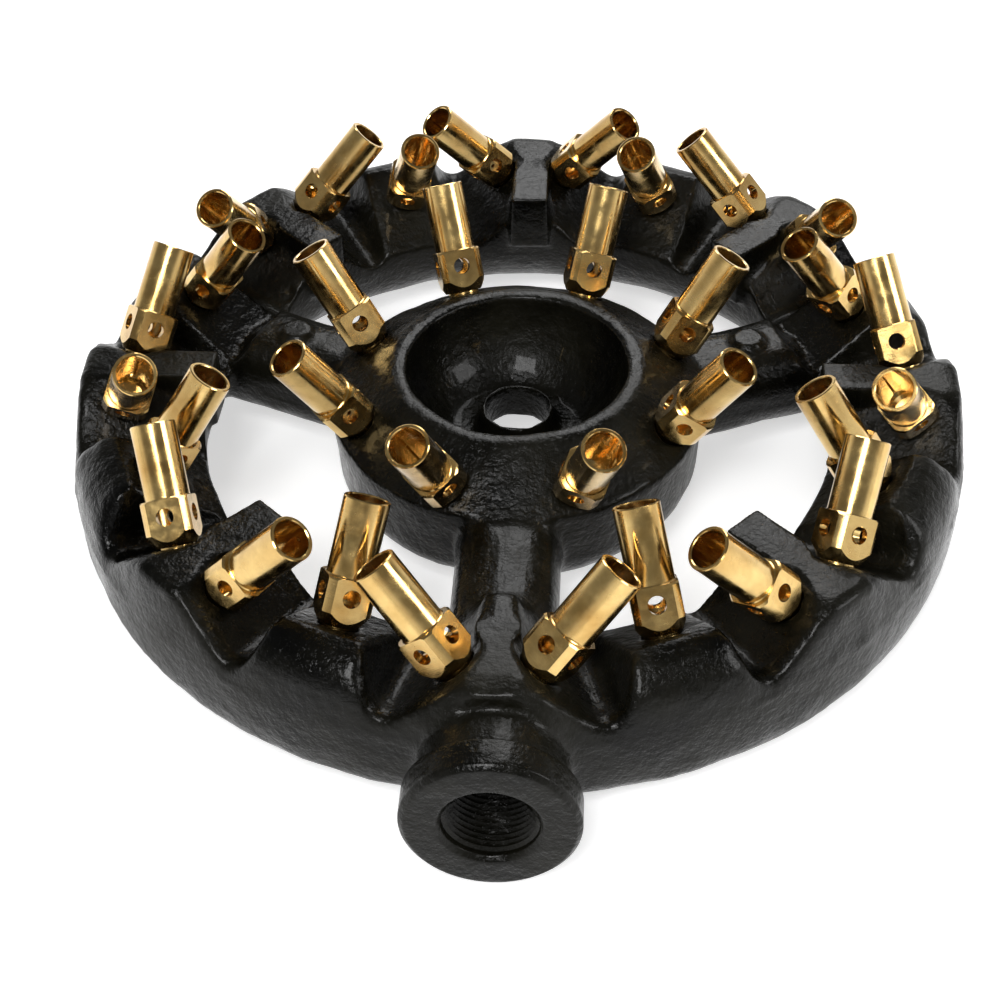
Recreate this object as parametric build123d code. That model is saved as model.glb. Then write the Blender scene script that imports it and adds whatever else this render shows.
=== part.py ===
"""Ring jet gas burner: one hollow iron casting with tapped pads, and the brass jets screwed into them.

Origin: lower end of the centre hole, on the ring's axis. +Z up, the gas inlet towards -Y. Millimetres.
Azimuths are degrees from the inlet, growing towards +X. Heights named _rise are measured from the
level of the jet seats, upwards; depths named _drop are measured from it downwards.
"""
from build123d import *
from math import cos, radians, sin, tan
import os

# Jet layout
groups = 8                 # groups of three jets round the ring, and as many jets on the hub
ring_outer = 130.0
side_inset = 17.0          # ring's outer wall in to the seat centres of a group's two side jets
side_offset = 5.4          # degrees from a ridge to the jets beside it
side_lean = 39.9           # degrees each side jet leans along the ring, towards its group's middle
side_tilt = 13.4           # degrees each side jet leans towards the burner's axis
middle_inset = 23.0        # the same for the middle jets
middle_tilt = 35.2         # degrees the middle jets lean inwards
hub_jet_radius = 48.4
hub_jet_tilt = 33.5        # degrees the hub jets lean outwards
outer_jet_spin = 37        # degrees from one jet's flats to the next one's, as each tightens where it will
hub_jet_spin = 53

# Ring
ring_width = 39.0
ring_drop = 38.0           # seat level down to the ring's underside
ring_shoulder_drop = 14.0  # where the ring's outer wall starts to draw in towards the ridges
shoulder_round = 20.0
ridge_rise = 5.5           # ridge tops above seat level
ridge_draft = 2.5          # how far the outer wall draws in up to the ridge tops
heel_round = 13.0          # outer lower edge of the ring
belly_round = 24.0         # inner lower edge of the ring
ridge_outer_round = 3.0
ridge_inner_round = 2.0
valley_drop = 13.0         # bottom of the notch between a side seat and the middle boss
flank_lean = 20.0          # degrees the middle boss's flanks lean back
valley_round = 4.0
ridge_width = 13.0
nose_stand = 3.5           # how far the ridges' square noses stand in from the inner wall
nose_drop = 14.0           # foot of the nose on the ring's inner wall
scoop_clearance = 0.8      # round pocket in the ridge's side, beyond the jet's square corners
boss_top_inset = 14.5      # outer wall in to where the middle boss starts to round over
boss_heel_drop = 11.0      # where that rounding meets the ring's outer wall
cut_overrun = 20.0         # how far the notches run on past the ring's outer wall
ring_wall = 6.0

# Hub
rim_inner = 31.5
rim_outer = 36.3
hub_radius = 55.0
hub_skirt_radius = 53.5
hub_drop = 34.0
hub_foot_outer = 42.0
hub_foot_inner = 27.0
skirt_drop = 24.0          # where the hub's side turns under
recess_radius = 18.0       # underside recess below the bowl's floor
bowl_floor_radius = 19.0
bowl_floor_drop = 16.0
floor_boss_radius = 11.0
floor_boss_drop = 8.5
hole_radius = 9.0
hole_length = 12.0
hub_wall = 5.0

# Spokes and gas ways
spoke_azimuths = (0.0, 112.5, -112.5)
spoke_width = 30.0
spoke_height = 27.0
spoke_round = 11.0
spoke_drop = 18.0          # seat level down to the spokes' centre line
gas_way_radius = 9.0
gas_way_overlap = 20.0     # how far the spokes' gas ways run on into the ring
core_plug_radius = 5.0     # round bump left on each rear spoke
core_plug_rise = 2.0
core_plug_place = 74.0     # its distance from the burner's axis

# Inlet
inlet_stand = 19.0         # ring's outer wall to the inlet's face
inlet_drop = 18.0          # seat level down to the inlet's axis
collar_radius = 22.5
collar_length = 17.0
collar_chamfer = 2.0
collar_back = 2.0          # length of the cone behind the collar
neck_radius = 19.5
neck_taper = 1.5           # how much wider the neck is at its root
neck_overlap = 14.0        # how far its root lies inside the ring's outer wall
neck_groove_depth = 1.0
neck_groove_width = 2.5
groove_stand = 8.0         # groove to the collar
inlet_bore_radius = 12.05  # 3/4 inch pipe thread at its crests
inlet_bore_length = 20.0
inlet_lead_in = 1.5

# Jets
jet_length = 33.0          # seat to tip
barrel_radius = 6.1
barrel_wall = 1.1
square_width = 13.0        # across the flats of the base
square_corner = 8.0        # radius that the square's corners are turned to
square_top = 12.8
shoulder_radius = 5.6      # flat ring that seats on the casting
shoulder_height = 3.4      # cone from that ring out to the square
air_hole_radius = 2.4
air_hole_height = 8.0
chamber_floor = 4.0
stem_radius = 4.9
stem_length = 8.0
stem_bore_radius = 2.5
orifice_radius = 0.7
orifice_length = 2.0
thread_clearance = 0.1     # stem to tapped hole
tap_spare = 1.0            # tapped hole deeper than the stem

side_radius = ring_outer - side_inset
middle_radius = ring_outer - middle_inset
ring_inner = ring_outer - ring_width
ridge_outer = ring_outer - ridge_draft
nose_reach = ring_inner - nose_stand
boss_top_radius = ring_outer - boss_top_inset
inlet_reach = ring_outer + inlet_stand
seat_height = hole_length + floor_boss_drop     # seat level above the origin
spoke_level = seat_height - spoke_drop
inlet_level = seat_height - inlet_drop
sector = 360.0 / groups
valley_reach = valley_drop / sin(radians(side_lean))    # seat centre to the notch, along the seat
standing = (Align.CENTER, Align.CENTER, Align.MIN)      # for solids that stand on their own foot


def radial(azimuth, radius, height=0.0):
    """Point at an azimuth, a distance from the axis and a height."""
    angle = radians(azimuth)
    return Vector(radius * sin(angle), -radius * cos(angle), height)


def seat(azimuth, radius, lean, tilt):
    """Seat plane: its normal is the jet's axis, its x runs along the ring, its y points inwards."""
    outward = radial(azimuth, 1)
    along = radial(azimuth + 90, 1)
    upward = along * sin(radians(lean)) + Vector(0, 0, cos(radians(lean)))
    normal = outward * sin(radians(tilt)) + upward * cos(radians(tilt))
    slope = along * cos(radians(lean)) - Vector(0, 0, sin(radians(lean)))
    return Plane(outward * radius + Vector(0, 0, seat_height), x_dir=slope, z_dir=normal)


def group_middles():
    return [sector * (step + 0.5) for step in range(groups)]


def side_seats():
    """(plane, side) of the two outer seats of each group; side says which way the group's middle is."""
    seats = []
    for middle in group_middles():
        for side in (1, -1):
            azimuth = middle - side * (sector / 2 - side_offset)
            seats.append((seat(azimuth, side_radius, side * side_lean, -side_tilt), side))
    return seats


def middle_seats():
    return [seat(azimuth, middle_radius, 0, -middle_tilt) for azimuth in group_middles()]


def hub_seats():
    return [seat(azimuth, hub_jet_radius, 0, hub_jet_tilt) for azimuth in group_middles()]


def spun(face_edges):
    """Solid of revolution about the burner's axis from a closed outline drawn on XZ."""
    return revolve(make_face(face_edges), Axis.Z)


def turned(outline):
    """Solid of revolution about its own Z from a closed outline of (radius, height) points."""
    corners = [(radius, 0, height) for radius, height in outline]
    return revolve(make_face(Polyline(*corners, close=True)), Axis.Z)


def level(points):
    """Outline points given as (radius, rise over seat level), placed on XZ."""
    return [Vector(radius, 0, seat_height + rise) for radius, rise in points]


def ring_blank():
    """Ring of full ridge height, before the seats are cut into its top."""
    corners = level([
        (ring_inner, -ring_drop), (ring_outer, -ring_drop), (ring_outer, -ring_shoulder_drop),
        (ridge_outer, ridge_rise), (ring_inner, ridge_rise)])
    radii = [belly_round, heel_round, shoulder_round, ridge_outer_round, ridge_inner_round]
    return spun(FilletPolyline(*corners, radius=radii, close=True))


def side_notch(side):
    """What is cut away over a side seat, from above the ridge to the middle boss's flank."""
    back = radians(side_lean - flank_lean)
    high = 45.0
    outline = [(valley_reach - high * sin(back), high * cos(back)), (valley_reach, 0), (-high / 2, 0)]
    edges = FilletPolyline(*[(side * x, 0, z) for x, z in outline], radius=valley_round)
    corner = (side * -high / 2, 0, high * cos(back))
    edges += Polyline(edges @ 1, corner, edges @ 0)
    notch = extrude(make_face(edges), amount=side_inset + cut_overrun, dir=(0, -1, 0))
    return notch + extrude(make_face(edges), amount=side_radius - ring_inner + 1, dir=(0, 1, 0))


def ridge_bar(azimuth):
    """The straight block of full height that the notches leave standing at a ridge."""
    length = ring_outer - ring_inner + 40
    return Rot(0, 0, azimuth) * Pos(0, -(ring_outer + ring_inner) / 2, seat_height) * Box(
        ridge_width, length, 2 * (ridge_rise + valley_drop))


def ridge_nose(azimuth):
    """Square inner end of a ridge, standing in from the ring's inner wall."""
    length = ring_inner + 4 - nose_reach
    place = Rot(0, 0, azimuth) * Pos(0, -nose_reach - length / 2, seat_height - nose_drop)
    return place * Box(ridge_width, length, nose_drop + ridge_rise, align=standing)


def scoop():
    """Round pocket that clears a side jet's base where it stands into the ridge."""
    return Cylinder(square_corner + scoop_clearance, square_top + 8, align=standing)


def middle_cut():
    """What is cut away over a middle seat, out past the ring's wall and in to its inner wall."""
    inward = (middle_radius - ring_inner) / cos(radians(middle_tilt)) + 1
    outward = 1.5 * (ring_outer - middle_radius)
    size = 48.0
    cut = Box(size, inward + outward, size, align=(Align.CENTER, Align.MIN, Align.MIN))
    return cut.translate((0, -outward, 0))


def boss_rounding():
    """What is cut off outside the rounded back of a middle boss, at azimuth zero of +X."""
    start, end = level([(boss_top_radius, ridge_rise), (ring_outer, -boss_heel_drop)])
    middle = level([(0.36 * boss_top_radius + 0.64 * ring_outer, ridge_rise - 4.0)])[0]
    far, top = level([(ring_outer + 9, -boss_heel_drop)])[0], 9.0
    outline = ThreePointArc(start, middle, end) + Polyline(
        end, far, Vector(far.X, 0, start.Z + top), Vector(start.X, 0, start.Z + top), start)
    span = 2 * (sector / 2 - side_offset) - 10
    return revolve(Rot(0, 0, -span / 2) * make_face(outline), Axis.Z, revolution_arc=span)


def hub_blank():
    """Bell-shaped hub with its open bowl, floor boss, centre hole and underside recess."""
    cone_drop = (hub_radius - hub_jet_radius) * tan(radians(hub_jet_tilt))
    rim_rise = (hub_jet_radius - rim_outer) * tan(radians(hub_jet_tilt))
    side = level([(rim_inner, rim_rise), (rim_outer, rim_rise), (hub_radius, -cone_drop),
                  (hub_skirt_radius, -skirt_drop)])
    foot = level([(hub_foot_outer, -hub_drop), (hub_foot_inner, -hub_drop)])
    under = level([(recess_radius, -floor_boss_drop - hole_length),
                   (hole_radius, -floor_boss_drop - hole_length),
                   (hole_radius, -floor_boss_drop), (floor_boss_radius, -floor_boss_drop),
                   (floor_boss_radius + 1, -bowl_floor_drop), (bowl_floor_radius, -bowl_floor_drop)])
    turn = level([(hub_skirt_radius - 3.0, -hub_drop + 4.0)])[0]
    bowl = level([(rim_inner - 3.0, -5.0)])[0]
    outline = Polyline(*side) + ThreePointArc(side[-1], turn, foot[0]) + Polyline(*foot, *under)
    outline += ThreePointArc(under[-1], bowl, side[0])
    return spun(outline)


def spoke(azimuth):
    """Rounded bar from inside the hub's wall to inside the ring's."""
    start, end = hub_skirt_radius - 10, ring_inner + 12
    outward = radial(azimuth, 1)
    place = Plane(outward * start + Vector(0, 0, spoke_level), x_dir=radial(azimuth + 90, 1), z_dir=outward)
    return extrude(place * RectangleRounded(spoke_width, spoke_height, spoke_round), amount=end - start)


def core_plug(azimuth):
    height = spoke_height / 2 + core_plug_rise
    place = Pos(radial(azimuth, core_plug_place, spoke_level))
    return place * Cylinder(core_plug_radius, height, align=standing)


def inlet_boss():
    """Neck and collar, drawn as a turned part on the inlet's own axis, from the ring outwards."""
    root = ring_outer - neck_overlap
    collar_start = inlet_reach - collar_length
    groove = collar_start - groove_stand
    return inlet_place() * turned([
        (0, root), (neck_radius + neck_taper, root), (neck_radius, ring_outer + 2),
        (neck_radius, groove - neck_groove_width / 2), (neck_radius - neck_groove_depth, groove),
        (neck_radius, groove + neck_groove_width / 2), (neck_radius, collar_start - collar_back),
        (collar_radius, collar_start), (collar_radius, inlet_reach - collar_chamfer),
        (collar_radius - collar_chamfer, inlet_reach), (0, inlet_reach)])


def inlet_place():
    return Location(Plane((0, 0, inlet_level), x_dir=(1, 0, 0), z_dir=(0, -1, 0)))


def gas_ways():
    """The cored passages: ring channel, hub channel, the bores of the spokes and the inlet."""
    roof = valley_drop + ring_wall
    ring_corners = level([
        (ring_inner + ring_wall + 5, -ring_drop + ring_wall),
        (ring_outer - ring_wall, -ring_drop + ring_wall),
        (ring_outer - ring_wall, -roof), (ring_inner + ring_wall, -roof)])
    channel = spun(FilletPolyline(*ring_corners, radius=[5, 5, 3, 3], close=True))
    hub_corners = level([
        (rim_outer + 1, -hub_wall - 1), (hub_radius - 1.5 * hub_wall, -2 * hub_wall - 1),
        (hub_skirt_radius - hub_wall, -skirt_drop), (hub_foot_outer, -hub_drop + hub_wall),
        (hub_foot_inner + hub_wall, -hub_drop + hub_wall), (rim_outer - hub_wall, -bowl_floor_drop)])
    ways = [channel, spun(Polyline(*hub_corners, close=True))]
    for azimuth in spoke_azimuths:
        start = Plane(radial(azimuth, hub_skirt_radius - 12, spoke_level), z_dir=radial(azimuth, 1))
        length = ring_inner + gas_way_overlap - (hub_skirt_radius - 12)
        ways.append(extrude(start * Circle(gas_way_radius), amount=length))
    return ways


def inlet_bore():
    """Thread bore with its lead-in, and the narrower way from it into the ring."""
    mouth = inlet_reach - inlet_bore_length
    outline = [
        (0, ring_outer - 25), (gas_way_radius, ring_outer - 25), (gas_way_radius, mouth - 3),
        (inlet_bore_radius, mouth), (inlet_bore_radius, inlet_reach - inlet_lead_in),
        (inlet_bore_radius + inlet_lead_in, inlet_reach), (0, inlet_reach)]
    return inlet_place() * turned(outline)


def tapped_hole(depth):
    return Cylinder(stem_radius + thread_clearance, depth, align=(Align.CENTER, Align.CENTER, Align.MAX))


def casting():
    ridges = [sector * step for step in range(groups)]
    bars = [ridge_bar(azimuth) for azimuth in ridges]
    notches = [plane.location * side_notch(side) - bars for plane, side in side_seats()]
    scoops = [plane.location * scoop() for plane, _ in side_seats()]
    cuts = [plane.location * middle_cut() for plane in middle_seats()]
    backs = [Rot(0, 0, azimuth - 90) * boss_rounding() for azimuth in group_middles()]
    body = ring_blank() + [spoke(azimuth) for azimuth in spoke_azimuths]
    body = body - notches - cuts - backs
    body = body + [ridge_nose(azimuth) for azimuth in ridges] - scoops
    body = body + inlet_boss() + hub_blank() + [core_plug(azimuth) for azimuth in spoke_azimuths[1:]]
    body = body - gas_ways() - inlet_bore()
    hub_depth = stem_length + tap_spare + 4
    ring_depth = stem_length + tap_spare + 14
    body = body - [plane.location * tapped_hole(ring_depth) for plane, _ in side_seats()]
    body = body - [plane.location * tapped_hole(ring_depth) for plane in middle_seats()]
    body = body - [plane.location * tapped_hole(hub_depth) for plane in hub_seats()]
    return body


def jet():
    """One brass jet on its own axis, seat at zero: stem, shoulder, squared base and plain barrel."""
    bore = barrel_radius - barrel_wall
    outline = [
        (stem_bore_radius, -stem_length), (stem_radius, -stem_length), (stem_radius, 0), (shoulder_radius, 0),
        (square_corner, shoulder_height), (square_corner, square_top), (barrel_radius, square_top),
        (barrel_radius, jet_length), (bore, jet_length), (bore, chamber_floor),
        (orifice_radius, chamber_floor), (orifice_radius, chamber_floor - orifice_length),
        (stem_bore_radius, chamber_floor - orifice_length)]
    blank = turned(outline)
    total = jet_length + stem_length
    bar = Pos(0, 0, -stem_length) * Box(square_width, square_width, total, align=standing)
    across = [Pos(0, 0, air_hole_height) * turn * Cylinder(air_hole_radius, 3 * square_width)
              for turn in (Rot(90, 0, 0), Rot(0, 90, 0))]
    return (blank & bar) - across


def main():
    os.makedirs("parts", exist_ok=True)
    export_step(casting(), "parts/burner_casting.step")
    one_jet = jet()
    outer = []
    for index, middle in enumerate(middle_seats()):
        outer += [side_seats()[2 * index][0], middle, side_seats()[2 * index + 1][0]]
    for count, plane in enumerate(outer, start=1):
        placed = plane.location * Rot(0, 0, outer_jet_spin * count) * one_jet
        export_step(placed, f"parts/jet_outer_{count:02d}.step")
    for count, plane in enumerate(hub_seats(), start=1):
        placed = plane.location * Rot(0, 0, hub_jet_spin * count) * one_jet
        export_step(placed, f"parts/jet_hub_{count:02d}.step")


main()
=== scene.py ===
from math import cos, pi, radians, sin

import bmesh
import bpy
import numpy as np
from mathutils import Matrix, Vector, noise


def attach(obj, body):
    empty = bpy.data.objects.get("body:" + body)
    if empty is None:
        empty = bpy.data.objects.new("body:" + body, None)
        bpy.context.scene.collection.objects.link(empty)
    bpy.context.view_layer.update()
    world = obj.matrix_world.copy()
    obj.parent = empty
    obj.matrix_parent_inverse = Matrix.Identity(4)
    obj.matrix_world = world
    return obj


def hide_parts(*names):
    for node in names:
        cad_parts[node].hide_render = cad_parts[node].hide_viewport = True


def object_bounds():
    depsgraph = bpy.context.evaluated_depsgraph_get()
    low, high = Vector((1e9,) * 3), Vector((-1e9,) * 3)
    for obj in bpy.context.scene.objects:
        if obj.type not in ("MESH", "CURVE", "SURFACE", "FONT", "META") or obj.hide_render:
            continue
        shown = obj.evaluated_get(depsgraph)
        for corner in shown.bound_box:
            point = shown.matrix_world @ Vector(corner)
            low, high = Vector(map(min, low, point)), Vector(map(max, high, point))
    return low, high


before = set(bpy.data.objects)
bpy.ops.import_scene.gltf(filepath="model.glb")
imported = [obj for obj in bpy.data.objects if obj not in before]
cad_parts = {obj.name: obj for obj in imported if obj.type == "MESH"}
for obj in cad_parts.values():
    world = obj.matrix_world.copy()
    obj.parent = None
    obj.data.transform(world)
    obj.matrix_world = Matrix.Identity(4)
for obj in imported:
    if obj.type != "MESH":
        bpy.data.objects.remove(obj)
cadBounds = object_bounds()

seatHeight = 0.0205   # level of the jet seats above the centre hole's lower end
floorHeight = cadBounds[0][2]

print("frame loaded")


# where the jets sit on the casting, as the solids have them; angles are in degrees
layout = {
    "groups": 8, "sideRadius": 0.113, "sideOffset": 5.4, "sideLean": 39.9, "sideTilt": 13.4,
    "middleRadius": 0.107, "middleTilt": 35.2, "hubRadius": 0.0484, "hubTilt": 33.5,
    "outerSpin": 37, "hubSpin": 53,      # each jet is turned this much further than the one before it
}


def radial(azimuth):
    return Vector((sin(radians(azimuth)), -cos(radians(azimuth)), 0))


def seat(azimuth, radius, lean, tilt, spin):
    outward, along = radial(azimuth), radial(azimuth + 90)
    upward = along * sin(radians(lean)) + Vector((0, 0, cos(radians(lean))))
    normal = outward * sin(radians(tilt)) + upward * cos(radians(tilt))
    slope = along * cos(radians(lean)) - Vector((0, 0, sin(radians(lean))))
    place = Matrix((slope, normal.cross(slope), normal)).transposed().to_4x4()
    place.translation = outward * radius + Vector((0, 0, seatHeight))
    return place @ Matrix.Rotation(radians(spin), 4, "Z")


cameraSet = {
    "azimuth": 3.04, "elevation": 38.60, "distance": 0.5654,   # stands off the seat level on the axis
    "turn": 0.736, "dip": 3.452, "roll": -1.232,               # where it points, in degrees off that line
    "lens": 69.82, "sensor": 36.0,
}


def backwards(azimuth, elevation):
    a, e = radians(azimuth), radians(elevation)
    return Vector((sin(a) * cos(e), -cos(a) * cos(e), sin(e)))


def addCamera(c):
    data = bpy.data.cameras.new("viewCamera")
    data.lens = c["lens"]
    data.sensor_width = c["sensor"]
    camera = bpy.data.objects.new("viewCamera", data)
    bpy.context.scene.collection.objects.link(camera)
    back = backwards(c["azimuth"] + c["turn"], c["elevation"] + c["dip"])
    right = Vector((0, 0, 1)).cross(back).normalized()
    up = back.cross(right)
    roll = radians(c["roll"])
    right, up = right * cos(roll) + up * sin(roll), up * cos(roll) - right * sin(roll)
    place = Matrix((right, up, back)).transposed().to_4x4()
    place.translation = backwards(c["azimuth"], c["elevation"]) * c["distance"] + Vector((0, 0, seatHeight))
    camera.matrix_world = place
    bpy.context.scene.camera = camera


addCamera(cameraSet)
print("camera placed")


# a material and its nodes
class Nodes:
    def __init__(self, name):
        self.material = bpy.data.materials.new(name)
        self.material.use_nodes = True
        self.tree = self.material.node_tree
        self.shader = self.tree.nodes["Principled BSDF"]

    def add(self, kind, **values):
        node = self.tree.nodes.new(kind)
        for key, value in values.items():
            if hasattr(node, key):
                setattr(node, key, value)
            else:
                node.inputs[key.replace("_", " ")].default_value = value
        return node

    def link(self, start, end):
        self.tree.links.new(start, end)

    def noise(self, place, scale, detail, rough):
        node = self.add("ShaderNodeTexNoise", Scale=scale, Detail=detail, Roughness=rough)
        self.link(place, node.inputs["Vector"])
        return node.outputs["Fac"]

    def ramp(self, value, stops):
        node = self.add("ShaderNodeValToRGB")
        for element, (position, color) in zip(node.color_ramp.elements, stops):
            element.position = position
            element.color = (*color, 1)
        self.link(value, node.inputs["Fac"])
        return node.outputs["Color"]

    def rangeOf(self, value, low, high, newLow=0.0, newHigh=1.0):
        node = self.add("ShaderNodeMapRange")
        for key, number in (("From Min", low), ("From Max", high), ("To Min", newLow), ("To Max", newHigh)):
            node.inputs[key].default_value = number
        self.link(value, node.inputs["Value"])
        return node.outputs["Result"]

    def maths(self, operation, first, second):
        node = self.add("ShaderNodeMath", operation=operation)
        for socket, value in zip(node.inputs, (first, second)):
            if isinstance(value, (int, float)):
                socket.default_value = value
            else:
                self.link(value, socket)
        return node.outputs["Value"]

    def mixInto(self, factor, first, color):
        node = self.add("ShaderNodeMix", data_type="RGBA")
        self.link(factor, node.inputs[0])
        self.link(first, node.inputs[6])
        node.inputs[7].default_value = (*color, 1)
        return node.outputs[2]

    def bump(self, height, strength, distance, before=None):
        node = self.add("ShaderNodeBump", Strength=strength, Distance=distance)
        self.link(height, node.inputs["Height"])
        if before is not None:
            self.link(before, node.inputs["Normal"])
        return node.outputs["Normal"]


# a pattern is given as its scale, detail and roughness, and a bump as its strength and distance
paintSet = {
    "black": (0.0008, 0.0008, 0.0006), "dusty": (0.0076, 0.0070, 0.0040), "worn": (0.085, 0.072, 0.046),
    "patches": (28.0, 5.0, 0.6), "sand": (620.0, 3.0, 0.6), "lumps": (150.0, 4.0, 0.55),
    "dustFrom": 0.35, "dustTo": 0.7,
    "wornEdges": (0.54, 0.62), "wornLumps": (0.45, 0.65),     # it wears through where both are high
    "sandShare": 0.4, "unevenEnds": (0.5, 0.9), "roughness": (0.13, 0.46),
    "sandBump": (0.6, 0.0006), "lumpBump": (0.6, 0.0014),
    "specular": 0.13, "coat": 0.1, "coatRoughness": 0.06,
}


def paintedIron(c):
    n = Nodes("paintedIron")
    place = n.add("ShaderNodeTexCoord").outputs["Object"]
    patches = n.noise(place, *c["patches"])
    sand = n.noise(place, *c["sand"])
    lumps = n.noise(place, *c["lumps"])
    body = n.ramp(patches, [(c["dustFrom"], c["black"]), (c["dustTo"], c["dusty"])])
    edges = n.add("ShaderNodeNewGeometry").outputs["Pointiness"]
    wear = n.maths("MULTIPLY", n.rangeOf(edges, *c["wornEdges"]), n.rangeOf(lumps, *c["wornLumps"]))
    n.link(n.mixInto(wear, body, c["worn"]), n.shader.inputs["Base Color"])
    uneven = n.maths("ADD", patches, n.maths("MULTIPLY", sand, c["sandShare"]))
    n.link(n.rangeOf(uneven, *c["unevenEnds"], *c["roughness"]), n.shader.inputs["Roughness"])
    fine = n.bump(sand, *c["sandBump"])
    n.link(n.bump(lumps, *c["lumpBump"], fine), n.shader.inputs["Normal"])
    n.shader.inputs["Specular IOR Level"].default_value = c["specular"]
    n.shader.inputs["Coat Weight"].default_value = c["coat"]
    n.shader.inputs["Coat Roughness"].default_value = c["coatRoughness"]
    return n.material


brassSet = {
    "skin": {"color": (0.74, 0.52, 0.20), "roughness": (0.13, 0.30), "lineStrength": 0.10},
    # the bore's darker, redder brass is painted shade inside the jet's tube
    "bore": {"color": (0.46, 0.19, 0.045), "roughness": (0.28, 0.5), "lineStrength": 0.3},
    "deep": (0.50, 0.29, 0.08), "deepFrom": 0.38, "deepTo": 0.72,
    "tarnish": (70.0, 4.0, 0.6), "smudge": (260.0, 4.0, 0.6), "smudgeEnds": (0.35, 0.7),
    "lines": (1.0, 2.0, 0.5), "lineStretch": (2.0, 2600.0, 1.0), "lineDepth": 0.0001,     # the lathe's marks
    "coat": 0.3, "coatRoughness": 0.1,
}


def brass(c, name, part):
    n = Nodes(name)
    place = n.add("ShaderNodeTexCoord").outputs["Object"]
    stretch = n.add("ShaderNodeMapping")
    stretch.inputs["Scale"].default_value = c["lineStretch"]
    n.link(n.add("ShaderNodeUVMap", uv_map="turned").outputs["UV"], stretch.inputs["Vector"])
    lines = n.noise(stretch.outputs["Vector"], *c["lines"])
    tarnish = n.noise(place, *c["tarnish"])
    smudge = n.noise(place, *c["smudge"])
    color = n.ramp(tarnish, [(c["deepFrom"], part["color"]), (c["deepTo"], c["deep"])])
    n.link(color, n.shader.inputs["Base Color"])
    n.shader.inputs["Metallic"].default_value = 1.0
    n.link(n.rangeOf(smudge, *c["smudgeEnds"], *part["roughness"]), n.shader.inputs["Roughness"])
    n.link(n.bump(lines, part["lineStrength"], c["lineDepth"]), n.shader.inputs["Normal"])
    n.shader.inputs["Coat Weight"].default_value = c["coat"]
    n.shader.inputs["Coat Roughness"].default_value = c["coatRoughness"]
    return n.material


ironPaint = paintedIron(paintSet)
brassSkin = brass(brassSet, "turnedBrass", brassSet["skin"])
# brass for the jets' bores, darkened as painted shade inside the tube
brassBore = brass(brassSet, "boreBrassPaintedShade", brassSet["bore"])
print("materials made")


def newObject(name, mesh):
    piece = bpy.data.objects.new(name, mesh)
    bpy.context.scene.collection.objects.link(piece)
    return piece


def meshOf(work, name):
    mesh = bpy.data.meshes.new(name)
    work.to_mesh(mesh)
    work.free()
    return mesh


def applied(piece):
    graph = bpy.context.evaluated_depsgraph_get()
    mesh = bpy.data.meshes.new_from_object(piece.evaluated_get(graph))
    piece.modifiers.clear()
    old = piece.data
    piece.data = mesh
    bpy.data.meshes.remove(old)


def meshSpots(mesh):
    spots = np.empty(len(mesh.vertices) * 3)
    mesh.vertices.foreach_get("co", spots)
    return spots.reshape(-1, 3)


def setSpots(mesh, spots):
    mesh.vertices.foreach_set("co", spots.ravel())
    mesh.update()


# metal over the rear spokes' gas ways, which the solid's cuts for the seats above them run into
plugSet = {
    "azimuths": (112.5, -112.5), "radius": 0.0093, "drop": 0.018, "segments": 48,
    "start": 0.080, "wall": 0.0905, "end": 0.102,     # along the spoke to the ring's wall, and under the seat
}


def wayPlug(work, c, azimuth, end, under=None):
    length = end - c["start"]
    outward = radial(azimuth)
    place = Matrix.Translation(outward * (c["start"] + length / 2) + Vector((0, 0, seatHeight - c["drop"])))
    made = bmesh.ops.create_cone(work, cap_ends=True, segments=c["segments"], radius1=c["radius"],
                                 radius2=c["radius"], depth=length,
                                 matrix=place @ outward.to_track_quat("Z", "Y").to_matrix().to_4x4())
    if under is None:
        return
    points = made["verts"]
    edges = {edge for point in points for edge in point.link_edges}
    faces = {face for point in points for face in point.link_faces}
    cut = bmesh.ops.bisect_plane(work, geom=points + list(edges) + list(faces), plane_co=under.translation,
                                 plane_no=under.col[2].xyz, clear_outer=True)
    rim = [part for part in cut["geom_cut"] if isinstance(part, bmesh.types.BMEdge)]
    bmesh.ops.contextual_create(work, geom=rim)


def closeWays(work, c, rows):
    for azimuth in c["azimuths"]:
        wayPlug(work, c, azimuth, c["wall"])
        wayPlug(work, c, azimuth, c["end"], seat(azimuth, rows["middleRadius"], 0, -rows["middleTilt"], 0))


inletSet = {
    "drop": 0.018, "neck": 0.0193, "neckEnd": -0.1275, "outer": 0.0225, "bore": 0.01205,
    "back": -0.1395, "face": -0.1490, "chamfer": 0.0014, "backChamfer": 0.0006, "leadIn": 0.0013,
    "edgeRound": 0.0003, "sharp": 20,              # edges past this many degrees are rounded
    "steps": 160, "longest": 0.003, "cuts": 5,     # and those longer than this are cut up
    "skinIn": 0.0025, "skinOut": 0.001, "skinBack": 0.003,     # how the skin keeps inside the collar's metal
}


# behind the collar the inlet draws in to the neck; inside it the skin gives way to the turned collar
def drawInInlet(piece, c):
    spots = meshSpots(piece.data)
    rise = spots[:, 2] - (seatHeight - c["drop"])
    reach = np.hypot(spots[:, 0], rise)
    near = (spots[:, 1] < c["neckEnd"]) & (reach < c["outer"] + c["skinOut"])
    inside = near & (spots[:, 1] < c["back"])
    wanted = np.where(near & (reach > c["neck"]), c["neck"], reach)
    middle = (c["outer"] + c["bore"]) / 2
    wanted = np.where(inside, np.clip(reach, middle - c["skinIn"], middle + c["skinOut"]), wanted)
    share = wanted / np.maximum(reach, 1e-6)
    spots[:, 0] *= share
    spots[:, 2] += rise * (share - 1)
    spots[:, 1] = np.where(inside, np.maximum(spots[:, 1], c["face"] + c["skinBack"]), spots[:, 1])
    setSpots(piece.data, spots)


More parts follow.
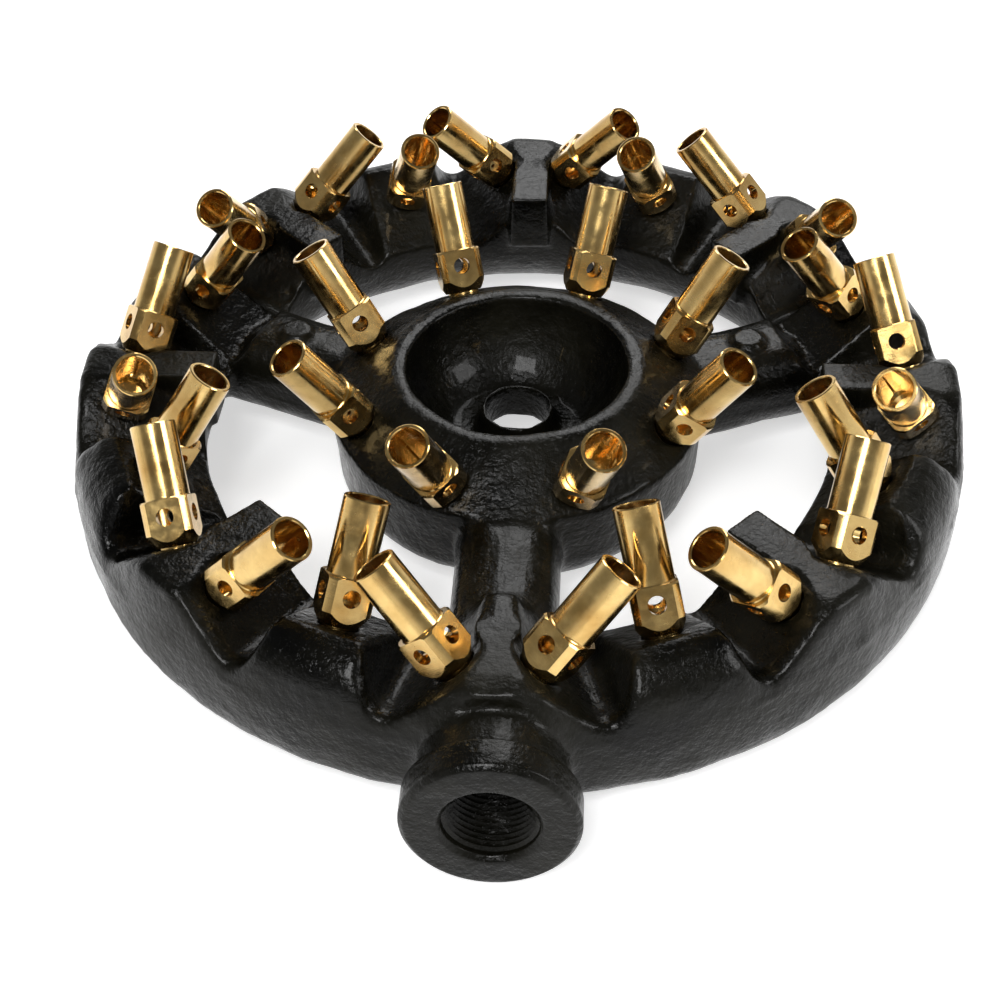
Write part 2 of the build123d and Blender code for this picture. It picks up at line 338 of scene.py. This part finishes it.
# where the casting is rounded most: the notches' ends in the ring's outer wall, and the front spoke's top
softSet = {
    "radius": 0.1210, "drop": 0.030, "ridgeHalf": 0.0075, "wallPasses": 45, "pull": 0.5,
    "spokeStart": -0.101, "spokeEnd": -0.056, "spokeHalf": 0.0125, "spokeDrop": 0.010, "spokePasses": 110,
}


def softenForms(piece, c):
    spots = meshSpots(piece.data)
    azimuth = np.degrees(np.arctan2(spots[:, 0], -spots[:, 1]))
    sector = 360 / layout["groups"]
    fromRidge = np.radians(np.abs(azimuth - sector * np.round(azimuth / sector)))
    reach = np.hypot(spots[:, 0], spots[:, 1])
    wall = (reach > c["radius"]) & (spots[:, 2] > seatHeight - c["drop"])
    wall &= fromRidge * reach > c["ridgeHalf"]
    spoke = (spots[:, 1] > c["spokeStart"]) & (spots[:, 1] < c["spokeEnd"])
    spoke &= (np.abs(spots[:, 0]) < c["spokeHalf"]) & (spots[:, 2] > seatHeight - c["spokeDrop"])
    work = bmesh.new()
    work.from_mesh(piece.data)
    work.verts.ensure_lookup_table()
    for chosen, passes in ((wall, c["wallPasses"]), (spoke, c["spokePasses"])):
        points = [work.verts[index] for index in np.flatnonzero(chosen)]
        for _ in range(passes):
            bmesh.ops.smooth_vert(work, verts=points, factor=c["pull"],
                                  use_axis_x=True, use_axis_y=True, use_axis_z=True)
    work.to_mesh(piece.data)
    work.free()


# the casting: the solid's own skin, softened as sand leaves it
castingSet = {
    "voxel": 0.0010, "smoothing": 9, "pull": 0.5,
    "kept": 0.295,     # share of the even mesh's triangles that is kept
    "lump": 0.00045, "lumpSize": 0.014, "grain": 0.00016, "grainSize": 0.0032,
    "seamDrop": 0.0125, "seamHeight": 0.00035, "seamWidth": 0.0007, "seamRadius": 0.122,
}


def softCasting(c):
    work = bmesh.new()
    work.from_mesh(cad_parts["burner_casting"].data)
    bmesh.ops.remove_doubles(work, verts=work.verts, dist=1e-6)
    closeWays(work, plugSet, layout)
    piece = newObject("burnerCasting", meshOf(work, "burnerCasting"))
    remesh = piece.modifiers.new("even", "REMESH")
    remesh.mode = "VOXEL"
    remesh.voxel_size = c["voxel"]
    applied(piece)
    drawInInlet(piece, inletSet)
    softenForms(piece, softSet)
    smooth = piece.modifiers.new("soft", "SMOOTH")
    smooth.factor = c["pull"]
    smooth.iterations = c["smoothing"]
    fewer = piece.modifiers.new("fewer", "DECIMATE")
    fewer.ratio = c["kept"]
    applied(piece)
    return piece


def roughen(piece, c):
    spots = meshSpots(piece.data)
    normals = np.empty(spots.size)
    piece.data.vertex_normals.foreach_get("vector", normals)
    swell = [noise.noise(Vector(spot) / c["lumpSize"]) * c["lump"]
             + noise.noise(Vector(spot) / c["grainSize"]) * c["grain"] for spot in spots]
    outside = np.hypot(spots[:, 0], spots[:, 1]) > c["seamRadius"]
    height = (spots[:, 2] - (seatHeight - c["seamDrop"])) / c["seamWidth"]
    seam = outside * c["seamHeight"] * np.exp(-height * height)     # flash left where the mould halves met
    rise = np.array(swell) - c["lump"] + seam
    setSpots(piece.data, spots + normals.reshape(-1, 3) * rise[:, None])


casting = softCasting(castingSet)
roughen(casting, castingSet)
casting.data.polygons.foreach_set("use_smooth", [True] * len(casting.data.polygons))
casting.data.materials.clear()
casting.data.materials.append(ironPaint)
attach(casting, "root")
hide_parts("burner_casting")
print("casting", len(casting.data.polygons))


def addIron(name, mesh):
    mesh.materials.append(ironPaint)
    piece = newObject(name, mesh)
    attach(piece, "root")
    print(name, len(mesh.polygons))


# the collar's machined face and edges
def inletCollar(c):
    work = bmesh.new()
    level = seatHeight - c["drop"]
    outline = [
        (c["bore"], c["back"]), (c["outer"] - c["backChamfer"], c["back"]),
        (c["outer"], c["back"] - c["backChamfer"]), (c["outer"], c["face"] + c["chamfer"]),
        (c["outer"] - c["chamfer"], c["face"]), (c["bore"] + c["leadIn"], c["face"]),
        (c["bore"], c["face"] + c["leadIn"])]
    points = [work.verts.new((0, along, level + radius)) for radius, along in outline]
    edges = [work.edges.new(pair) for pair in zip(points, points[1:] + points[:1])]
    bmesh.ops.spin(work, geom=points + edges, cent=(0, 0, level), axis=(0, 1, 0), angle=2 * pi,
                   steps=c["steps"], use_merge=True)
    bmesh.ops.remove_doubles(work, verts=work.verts, dist=1e-7)
    bmesh.ops.recalc_face_normals(work, faces=work.faces)
    rims = [edge for edge in work.edges if edge.calc_face_angle(0) > radians(c["sharp"])]
    bmesh.ops.bevel(work, geom=rims, offset=c["edgeRound"], affect="EDGES", segments=2, profile=0.5,
                    material=-1)
    long = [edge for edge in work.edges if edge.calc_length() > c["longest"]]
    bmesh.ops.subdivide_edges(work, edges=long, cuts=c["cuts"], use_grid_fill=True)
    mesh = meshOf(work, "inletCollar")
    mesh.polygons.foreach_set("use_smooth", [True] * len(mesh.polygons))
    addIron("inletCollar", mesh)


inletCollar(inletSet)


# thread cut in the inlet's bore; its roots stand in the bore's wall
threadSet = {
    "start": -0.1476, "pitch": 0.001814, "turns": 10, "depth": 0.0009, "rootDepth": 0.0003, "steps": 48,
}


def inletThread(c, inlet):
    work = bmesh.new()
    level = seatHeight - inlet["drop"]
    root = inlet["bore"] + c["rootDepth"]
    outline = [(root, 0), (inlet["bore"] - c["depth"], c["pitch"] / 2), (root, c["pitch"])]
    points = [work.verts.new((0, c["start"] + along, level + radius)) for radius, along in outline]
    edges = [work.edges.new(pair) for pair in zip(points, points[1:])]
    bmesh.ops.spin(work, geom=points + edges, cent=(0, 0, level), axis=(0, 1, 0), angle=2 * pi * c["turns"],
                   dvec=(0, c["pitch"] / c["steps"], 0), steps=c["steps"] * c["turns"], use_merge=False)
    bmesh.ops.remove_doubles(work, verts=work.verts, dist=2e-6)
    bmesh.ops.recalc_face_normals(work, faces=work.faces)
    if sum(face.normal.x * face.calc_center_median().x for face in work.faces) > 0:
        bmesh.ops.reverse_faces(work, faces=work.faces)     # the faces look towards the bore's axis
    addIron("inletThread", meshOf(work, "inletThread"))


inletThread(threadSet, inletSet)


# jets: turned on their own axis with the seat at zero, then set on their seats
jetSet = {
    "length": 0.033, "barrel": 0.0061, "bore": 0.0050, "square": 0.0130, "corner": 0.0080,
    "squareTop": 0.0128, "shoulder": 0.0056, "coneTop": 0.0034, "stem": 0.0047, "stemDepth": 0.0030,
    "floor": 0.0040, "floorEdge": 0.001, "orifice": 0.0007, "orificeDepth": 0.002, "lip": 0.00025,
    "airHole": 0.0024, "airHoleHeight": 0.0080, "airHoleSteps": 28,
    "steps": 64, "markWidth": 0.01, "crease": 28,     # the shading breaks at edges past this many degrees
}


def jetOutline(c):
    lip = c["lip"]
    corner = c["corner"]
    return [
        (c["stem"], -c["stemDepth"]), (c["stem"], 0.0), (c["shoulder"], 0.0), (corner - lip, c["coneTop"]),
        (corner, c["coneTop"] + lip), (corner, c["squareTop"] - 2 * lip), (corner - 2 * lip, c["squareTop"]),
        (c["barrel"] + lip, c["squareTop"]), (c["barrel"], c["squareTop"] + lip),
        (c["barrel"], c["length"] - lip), (c["barrel"] - lip, c["length"]),
        (c["bore"] + lip, c["length"]), (c["bore"], c["length"] - lip),
        (c["bore"], c["floor"] + c["floorEdge"]), (c["bore"] - c["floorEdge"], c["floor"]),
        (c["orifice"], c["floor"]), (c["orifice"], c["floor"] - c["orificeDepth"]),
    ]


def jetMesh(c):
    work = bmesh.new()
    points = [work.verts.new((radius, 0, height)) for radius, height in jetOutline(c)]
    edges = [work.edges.new(pair) for pair in zip(points, points[1:])]
    bmesh.ops.spin(work, geom=points + edges, cent=(0, 0, 0), axis=(0, 0, 1), angle=2 * pi,
                   steps=c["steps"], use_merge=True)
    bmesh.ops.remove_doubles(work, verts=work.verts, dist=1e-7)
    half = c["square"] / 2
    for turn in range(4):
        away = Matrix.Rotation(turn * pi / 2, 3, "Z") @ Vector((1, 0, 0))
        cut = bmesh.ops.bisect_plane(work, geom=work.verts[:] + work.edges[:] + work.faces[:], dist=1e-7,
                                     plane_co=away * half, plane_no=away, clear_outer=True)
        rim = [part for part in cut["geom_cut"] if isinstance(part, bmesh.types.BMEdge)]
        bmesh.ops.contextual_create(work, geom=rim)
    bmesh.ops.holes_fill(work, edges=[edge for edge in work.edges if edge.is_boundary], sides=0)
    bmesh.ops.recalc_face_normals(work, faces=work.faces)
    return meshOf(work, "jet")


def drilled(mesh, c):
    piece = newObject("jetBlank", mesh)
    work = bmesh.new()
    for turn in range(2):
        place = Matrix.Translation((0, 0, c["airHoleHeight"])) @ Matrix.Rotation(turn * pi / 2, 4, "Z")
        bmesh.ops.create_cone(work, cap_ends=True, segments=c["airHoleSteps"], radius1=c["airHole"],
                              radius2=c["airHole"], depth=c["square"] * 2,
                              matrix=place @ Matrix.Rotation(pi / 2, 4, "Y"))
    drill = newObject("drill", meshOf(work, "drill"))
    cut = piece.modifiers.new("airHoles", "BOOLEAN")
    cut.operation = "DIFFERENCE"
    cut.solver = "EXACT"
    cut.use_self = True
    cut.object = drill
    applied(piece)
    bpy.data.objects.remove(drill)
    mesh = piece.data
    bpy.data.objects.remove(piece)
    return mesh


def finishJet(mesh, c):
    work = bmesh.new()
    work.from_mesh(mesh)
    bmesh.ops.triangulate(work, faces=[face for face in work.faces if len(face.verts) > 4])
    uv = work.loops.layers.uv.new("turned")
    for face in work.faces:
        middle = face.calc_center_median()
        # faces inside the bore take the brass that is darkened as painted shade
        inner = middle.xy.length < c["bore"] + 1e-4 and middle.z > 0
        face.material_index = 1 if inner else 0
        face.smooth = True
        for loop in face.loops:
            loop[uv].uv = (loop.vert.co.x / c["markWidth"], loop.vert.co.z)     # the marks run round the jet
    for edge in work.edges:
        if len(edge.link_faces) == 2 and edge.calc_face_angle(0) > radians(c["crease"]):
            edge.smooth = False
    work.to_mesh(mesh)
    work.free()
    mesh.materials.clear()
    mesh.materials.append(brassSkin)
    mesh.materials.append(brassBore)
    return mesh


def jetPlaces(rows):
    sector = 360 / rows["groups"]
    reach = sector / 2 - rows["sideOffset"]
    places = {}
    outer = 0
    for group in range(rows["groups"]):
        middle = sector * (group + 0.5)
        for side in (1, 0, -1):
            outer += 1
            spin = rows["outerSpin"] * outer
            if side:
                place = seat(middle - side * reach, rows["sideRadius"], side * rows["sideLean"],
                             -rows["sideTilt"], spin)
            else:
                place = seat(middle, rows["middleRadius"], 0, -rows["middleTilt"], spin)
            places[f"jet_outer_{outer:02d}"] = place
    for count in range(1, rows["groups"] + 1):
        place = seat(sector * (count - 0.5), rows["hubRadius"], 0, rows["hubTilt"], rows["hubSpin"] * count)
        places[f"jet_hub_{count:02d}"] = place
    return places


def addJets(c, places):
    template = finishJet(drilled(jetMesh(c), c), c)
    for node, place in places.items():
        mesh = template.copy()
        mesh.transform(place)
        piece = newObject("brass_" + node, mesh)
        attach(piece, "root")
        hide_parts(node)
    print("jets", len(places), "faces each", len(template.polygons))


addJets(jetSet, jetPlaces(layout))


# pale floor, which glows in the view and in reflections only
floorSet = {"size": 6.0, "color": (0.82, 0.82, 0.82), "roughness": 0.7, "seen": 0.6}


def addFloor(c):
    work = bmesh.new()
    bmesh.ops.create_grid(work, x_segments=1, y_segments=1, size=c["size"],
                          matrix=Matrix.Translation((0, 0, floorHeight)))
    mesh = meshOf(work, "floor")
    n = Nodes("paleFloor")
    n.shader.inputs["Base Color"].default_value = (*c["color"], 1)
    n.shader.inputs["Roughness"].default_value = c["roughness"]
    path = n.add("ShaderNodeLightPath")
    seen = n.maths("MAXIMUM", path.outputs["Is Camera Ray"], path.outputs["Is Glossy Ray"])
    seen = n.maths("MAXIMUM", seen, path.outputs["Is Transmission Ray"])
    n.shader.inputs["Emission Color"].default_value = (1, 1, 1, 1)
    n.link(n.maths("MULTIPLY", seen, c["seen"]), n.shader.inputs["Emission Strength"])
    mesh.materials.append(n.material)
    newObject("floor", mesh)


skySet = {"levels": [(0.0, 1.0), (0.14, 0.9), (0.32, 0.22), (1.0, 0.12)]}     # pale low down, dim overhead


def addSky(c):
    world = bpy.data.worlds.new("studio")
    world.use_nodes = True
    bpy.context.scene.world = world
    tree = world.node_tree
    direction = tree.nodes.new("ShaderNodeTexCoord")
    height = tree.nodes.new("ShaderNodeSeparateXYZ")
    sky = tree.nodes.new("ShaderNodeValToRGB")
    while len(sky.color_ramp.elements) < len(c["levels"]):
        sky.color_ramp.elements.new(0.5)
    for element, (position, level) in zip(sky.color_ramp.elements, c["levels"]):
        element.position = position
        element.color = (level, level, level, 1)
    tree.links.new(direction.outputs["Generated"], height.inputs["Vector"])
    tree.links.new(height.outputs["Z"], sky.inputs["Fac"])
    tree.links.new(sky.outputs["Color"], tree.nodes["Background"].inputs["Color"])


lampSet = {
    "key": {"spot": (-0.16, -0.80, 1.00), "size": 0.40, "power": 10.0},
    "side": {"spot": (0.9, -0.25, 0.55), "size": 0.35, "power": 3.6},
    "back": {"spot": (0.1, 0.9, 0.8), "size": 0.6, "power": 7.0},
}


def addLamp(name, c):
    data = bpy.data.lights.new(name, "AREA")
    data.size = c["size"]
    data.energy = c["power"]
    lamp = bpy.data.objects.new(name, data)
    bpy.context.scene.collection.objects.link(lamp)
    lamp.location = c["spot"]
    lamp.rotation_euler = (-Vector(c["spot"])).to_track_quat("-Z", "Y").to_euler()


addFloor(floorSet)
addSky(skySet)
for lampName, lamp in lampSet.items():
    addLamp(lampName, lamp)
bpy.context.scene.view_settings.view_transform = "Standard"
print("studio made")
